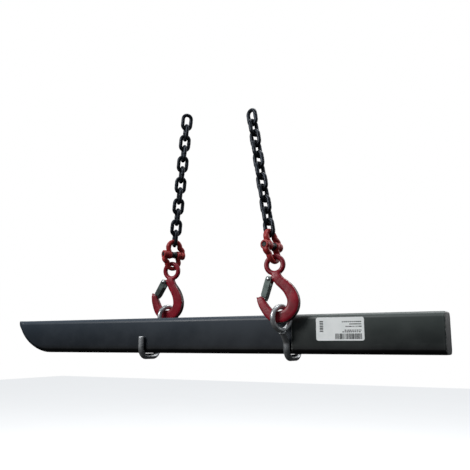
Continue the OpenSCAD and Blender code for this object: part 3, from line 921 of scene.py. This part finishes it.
slingHook = {
    # x, z, half thickness in the hook's plane, half width across it, from the eye to the tip
    "neck": (
        (0.0, 66.5, 8.8, 5.2), (0.0, 61.0, 8.6, 6.0), (1.0, 55.5, 9.0, 6.5), (5.2, 47.5, 9.6, 6.6),
        (12.5, 38.8, 10.3, 6.8), (19.0, 29.5, 10.9, 7.0), (23.4, 19.0, 11.4, 7.3)),
    "bowlCentre": (-2.0, 8.2),
    "bowlRadius": 27.2,
    "bowlHalf": (11.6, 11.7, 11.7, 11.6, 11.2, 10.4, 9.4),  # every 25 degrees round the bowl
    "bowlWidth": (7.4, 7.5, 7.5, 7.5, 7.4, 7.1, 6.6),
    "tip": (
        (-32.6, 8.4, 8.4, 5.8), (-35.2, 15.8, 7.6, 5.4), (-37.0, 21.6, 6.6, 4.9), (-38.2, 25.2, 3.8, 3.4)),
    "nib": ((-36.6, 17.5, 4.6, 4.2), (-40.6, 22.6, 3.2, 3.4), (-43.6, 25.8, 1.2, 1.8)),
    "eyeHeight": 80.0,
    "eyeRadius": 16.0,
    "eyeWire": 4.7,
    "latchPivot": (-14.0, 54.0),
    "voxel": 0.65,
}


def addSlingHookBody(shape, place):
    sizes = slingHook
    cx, cz = sizes["bowlCentre"]
    stations = list(sizes["neck"])
    for i, (half, width) in enumerate(zip(sizes["bowlHalf"], sizes["bowlWidth"])):
        angle = math.radians(-25 * i)
        reach = sizes["bowlRadius"]
        stations.append((cx + reach * math.cos(angle), cz + reach * math.sin(angle), half, width))
    stations += sizes["tip"]
    addRun(shape, stations, place, 5, 4.2, 44)
    addRun(shape, sizes["nib"], place, 4, 2.4, 20)
    eye = arcPath(0, sizes["eyeHeight"], sizes["eyeRadius"], 0, 360, 64)[:-1]
    rings = ringsAlong(eye, sizes["eyeWire"], sizes["eyeWire"], 2.5, 24, loop=True)
    addLoft(shape, moved(scaled(rings), place), loop=True)
    px, pz = sizes["latchPivot"]
    lug = [Vector((x, 0, pz)) for x in (px + 14, px + 4, px - 1.5, px - 3.6)]
    addLoft(shape, moved(scaled(ringsAlong(lug, [6.0, 5.6, 4.8, 2.6], [6.4, 6.4, 6.2, 4.6], 2.6, 20)), place))


def paintBackShadeAndHighlight(mesh, place):  # painted shade on the hook's outer flank and a painted highlight line along its edge, added to the rubbed wear
    inside = place.inverted()
    turn = inside.to_3x3()
    cx, cz = slingHook["bowlCentre"]
    neckEnd, throatEnd = 60, -20  # millimetres: the painted shade stops at the neck and before the tip
    wear = mesh.attributes["wear"].data
    paintedFlankShade = mesh.attributes.new("paintedFlankShade", "FLOAT", "POINT").data
    for vertex in mesh.vertices:
        point = inside @ vertex.co / mm
        normal = turn @ vertex.normal
        outward = Vector((point.x - cx, 0, point.z - cz - 6)).normalized()
        outer = normal.dot(outward)
        if point.z > neckEnd or point.x < throatEnd or outer < 0.1:
            continue
        fade = min(1.0, (neckEnd - point.z) / 12, (point.x - throatEnd) / 10)
        flat = abs(normal.y)
        # painted shade on the outer flank, strongest where the surface turns furthest from the flat faces
        paintedFlankShade[vertex.index].value = max(0.0, min(1.0, (0.5 - flat) * 5)) * fade
        # painted highlight: a bright line where the flank turns, added to the real wear spots
        line = max(0.0, 1 - abs(flat - 0.62) / 0.2) * fade
        wear[vertex.index].value = max(wear[vertex.index].value, line)


def makeSlingHook(side):
    place = hookPlace(side)
    shape = bmesh.new()
    addSlingHookBody(shape, place)
    mesh = fuse(side + "Forging", shape, slingHook["voxel"] * mm, 5)
    cx, cz = slingHook["bowlCentre"]
    eyeTop = slingHook["eyeHeight"] + slingHook["eyeRadius"] - slingHook["eyeWire"]
    nibX, nibZ, _, _ = slingHook["nib"][-1]
    spots = [((cx, 0, cz - 15.5), 9.0), ((0, 0, eyeTop), 7.0), ((nibX, 0, nibZ), 6.0)]
    markWear(mesh, atPlace(place, spots))
    paintBackShadeAndHighlight(mesh, place)
    putPiece(side + "_forged_hook", mesh, side + "_sling_hook", hookPaint, (side + "_sling_hook",))


# latches

latch = {
    "down": (-18.0, -37.0),  # way from the pivot to the tip, in the hook's plane
    "length": 39.6,
    "inside": 6.85,  # half the gap between the cheeks
    "sheet": 1.9,
    "cheekHalf": 5.9,
    "endHalf": 4.4,
    "webFrom": 10.5,
    "webShort": 4.5,  # how far the cheeks end before the web does
    "voxel": 0.4,
}


def latchPlace(side):  # origin on the pivot, X down the latch, Z into the throat
    hook = hookPlace(side)
    x, z = latch["down"]
    way = (hook.to_3x3() @ Vector((x, 0, z))).normalized()
    across = (hook.to_3x3() @ Vector((0, 1, 0))).normalized()
    return axesAt(Vector(jointOf[side + "_latch_hinge"]["pos_m"]), way, across, way.cross(across))


def addPlate(shape, outline, near, far, place):  # outline in XZ, between two distances along Y
    rings = []
    for y, inset in ((near, 0.35), (near + 0.35, 0.0), (far - 0.35, 0.0), (far, 0.35)):
        middle = sum((Vector((x, 0, z)) for x, z in outline), Vector()) / len(outline)
        ring = []
        for x, z in outline:
            point = Vector((x, 0, z))
            ring.append(point + (middle - point).normalized() * inset + Vector((0, y, 0)))
        rings.append(ring)
    addLoft(shape, moved(scaled(rings), place))


def makeLatch(side):
    sizes = latch
    place = latchPlace(side)
    r = sizes["cheekHalf"]
    end = sizes["length"] - sizes["webShort"]
    outline = [(r * math.cos(math.radians(a)), r * math.sin(math.radians(a))) for a in range(90, 271, 12)]
    outline += [(12, -r), (end - 3, -sizes["endHalf"] - 0.8), (end, -sizes["endHalf"] + 1.2),
                (end, r - 1), (end - 1, r)]
    shape = bmesh.new()
    inner, outer = sizes["inside"], sizes["inside"] + sizes["sheet"]
    for sign in (-1, 1):
        near, far = sorted((sign * inner, sign * outer))
        addPlate(shape, outline, near, far, place)
    z0, z1 = r - sizes["sheet"], r
    web = []
    for x, half in ((sizes["webFrom"], inner + 0.6), (sizes["webFrom"] + 1.5, inner + 0.9),
                    (end, inner + 0.9), (sizes["length"] - 0.8, inner - 0.6), (sizes["length"], inner - 2)):
        web.append([Vector((x, y, z)) for y, z in ((half, z0), (half, z1), (-half, z1), (-half, z0))])
    addLoft(shape, moved(scaled(web), place))
    mesh = fuse(side + "Latch", shape, sizes["voxel"] * mm, 2)
    spots = [((-r, -inner, 0), 6.0), ((-r, inner, 0), 6.0), ((sizes["length"], 0, z1), 6.0)]
    markWear(mesh, atPlace(place, spots))
    putPiece(side + "_pressed_latch", mesh, side + "_latch", latchPlating, (side + "_latch",))
    leaf = []
    for i in range(13):
        t = i / 12
        x, z = 11 + 18 * t, 3.0 - 0.5 * math.sin(math.pi * t)
        leaf.append([Vector((x, y, z + d)) for y, d in ((5.6, 0), (5.6, 0.8), (-5.6, 0.8), (-5.6, 0))])
    shape = bmesh.new()
    addLoft(shape, moved(scaled(leaf), place))
    putPiece(side + "_leaf_spring", finishMesh("leaf", shape, 35), side + "_latch", screwPlating,
             (side + "_latch_spring",))
    half = outer + 0.25
    rivet = [(-half - 1.5, 0.6), (-half - 1.3, 2.2), (-half - 0.7, 3.5), (-half, 3.9), (-half, 2.5),
             (half, 2.5), (half, 3.9), (half + 0.7, 3.5), (half + 1.3, 2.2), (half + 1.5, 0.6)]
    back, across, up = hookPlace(side).to_3x3().col
    pivot = axesAt(place.translation, across, up, back)
    putPiece(side + "_latch_rivet", turnedMesh("rivet", rivet, pivot, 32), side + "_sling_hook", screwPlating,
             (side + "_latch_pin",))


# couplings

coupling = {
    "length": 61.0,
    "crownRadius": 14.0,
    "wire": 4.55,
    "lugRadius": 9.2,
    "lugInner": (6.9, 16.2),
    "lugOuter": (16.5, 26.0),
    "pinRadius": 5.0,
    "pinHalf": 25.6,
    "sleeveHalf": 6.5,
    "sleeveRadius": 7.5,
    "voxel": 0.6,
}


def couplingPlace(side):  # origin on the pin, X along it, Z up the leg
    pin = jointOf[side + "_coupling_pin"]
    along = Vector(pin["axis"]).normalized()
    up = legUp(side)
    return axesAt(Vector(pin["pos_m"]), along, up.cross(along), up)


def lugProfile(low, high, radius, bore):
    return [(low, bore), (low, radius - 1.6), (low + 0.5, radius - 0.5), (low + 1.7, radius),
            (high - 1.7, radius), (high - 0.5, radius - 0.5), (high, radius - 1.6), (high, bore)]


def makeCouplingHalf(side, half, place):
    sizes = coupling
    crown = sizes["crownRadius"]
    wire = sizes["wire"]
    base = -sizes["length"] / 2
    outX = -sum(sizes["lugOuter"]) / 2
    inX = sum(sizes["lugInner"]) / 2
    stations = [(outX, -6.4, 4.7, 6.8), (outX - 0.2, -10.6, 4.9, 6.4), (-18.2, -13.6, 5.6, 5.9)]
    for i in range(13):
        angle = math.radians(180 + 15 * i)
        thick = wire + 1.1 * abs(math.cos(angle)) ** 3
        stations.append((crown * math.cos(angle), base + crown + crown * math.sin(angle), thick, thick))
    stations += [(inX + 2.0, -12.0, 4.8, 5.8), (inX + 0.1, -9.2, 4.4, 6.4), (inX, -6.4, 4.4, 6.8)]
    shape = bmesh.new()
    addRun(shape, stations, place, 4, 2.3, 28)
    bore = sizes["pinRadius"] + 0.1
    for low, high in ((-sizes["lugOuter"][1], -sizes["lugOuter"][0]), sizes["lugInner"]):
        rings = turnedRings(lugProfile(low, high, sizes["lugRadius"], bore), 44)
        addLoft(shape, moved(scaled(rings), place), loop=True)
    name = side + "_coupling_" + half
    mesh = fuse(name, shape, sizes["voxel"] * mm, 3)
    spots = [((0, 0, base + wire), 8.0), ((-sizes["lugOuter"][1], 0, 0), 8.5),
             ((sizes["lugInner"][1], 0, 0), 5.0)]
    markWear(mesh, atPlace(place, spots))
    putPiece(side + "_forged_half_" + half, mesh, name, couplingPaint, (name,))


def makeCoupling(side):
    sizes = coupling
    place = couplingPlace(side)
    makeCouplingHalf(side, "lower", place)
    makeCouplingHalf(side, "upper", place @ Matrix.Rotation(math.pi, 4, "Y"))
    half, r = sizes["pinHalf"], sizes["pinRadius"]
    pin = [(-half, 1.0), (-half, r - 1.1), (0.6 - half, r - 0.3), (1.2 - half, r), (half - 1.2, r),
           (half - 0.6, r - 0.3), (half, r - 1.1), (half, 1.0)]
    putPiece(side + "_turned_pin", turnedMesh("pin", pin, place, 40), side + "_coupling_lower", pinPlating,
             (side + "_load_pin",))
    half, r = sizes["sleeveHalf"], sizes["sleeveRadius"]
    bore = sizes["pinRadius"] + 0.05
    sleeve = [(-half, bore), (-half, r - 0.6), (0.6 - half, r), (-3.2, r), (-2.4, r - 0.8), (2.4, r - 0.8),
              (3.2, r), (half - 0.6, r), (half, r - 0.6), (half, bore)]
    collar = turnedMesh("sleeve", sleeve, place, 44, True)
    putPiece(side + "_locking_sleeve", collar, side + "_coupling_lower", pinPlating, (side + "_sleeve",))


# chains

chain = {"wire": 4.0, "bend": 9.2, "straight": 13.9, "weld": 0.09, "weldSpread": 1.9}


def makeChains():
    tree = linkTree()
    for side in sides:
        names = sorted(name for name in frame["nodes"] if name.startswith(side + "_link_"))
        up = legUp(side)
        swings = [Vector(jointOf[name + "_swing"]["axis"]).normalized() for name in names]
        for i, name in enumerate(names):
            low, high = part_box(name)
            wide = swings[i + 1] if i + 1 < len(names) else swings[i].cross(up)
            flip = -1 if (i * 7 + len(names)) % 3 == 0 else 1  # the weld isn't always on one side
            wide = wide * flip
            mesh = growMesh(tree, name + "Mesh", {
                "Wire": chain["wire"] * mm, "Bend": chain["bend"] * mm, "Straight": chain["straight"] * mm,
                "Weld": chain["weld"], "Weld Spread": chain["weldSpread"] * mm}, chainBlack)
            mesh.shade_smooth()
            mesh.transform(axesAt((low + high) / 2, wide, up, wide.cross(up)))
            spots = [((low + high) / 2 + up * s * 9.5 * mm, 6.5 * mm) for s in (-1, 1)]
            markWear(mesh, spots)
            putPiece(side + "_chain_link_" + name[-2:], mesh, name, chainBlack, (name,))


# carried-over nodes

def coatNodes():
    for name, node in frame["nodes"].items():
        if name in ("inner_tube", "step_plate", "rear_plate"):
            node.data.materials.clear()
            node.data.materials.append(greyPaint)


def makeFloor():
    half = view["floorSize"] / 2
    shape = bmesh.new()
    corners = ((-half, -half), (half, -half), (half, half), (-half, half))
    shape.faces.new([shape.verts.new((x, y, view["floorHeight"])) for x, y in corners])
    mesh = bpy.data.meshes.new("floor")
    shape.to_mesh(mesh)
    shape.free()
    mesh.materials.append(floorPaper("backgroundPaper"))
    addObject("floor", mesh)


makeCamera()
makeLight()
makeFloor()
print("camera, light and floor placed")
makeLongSection()
makeEndSection()
makeClamps()
coatNodes()
makeLabel()
print("beam built")
for side in sides:
    makeBarHook(side)
    makeSlingHook(side)
    makeLatch(side)
    makeCoupling(side)
    print(side, "hooks and coupling built")
makeChains()
print("chains built")
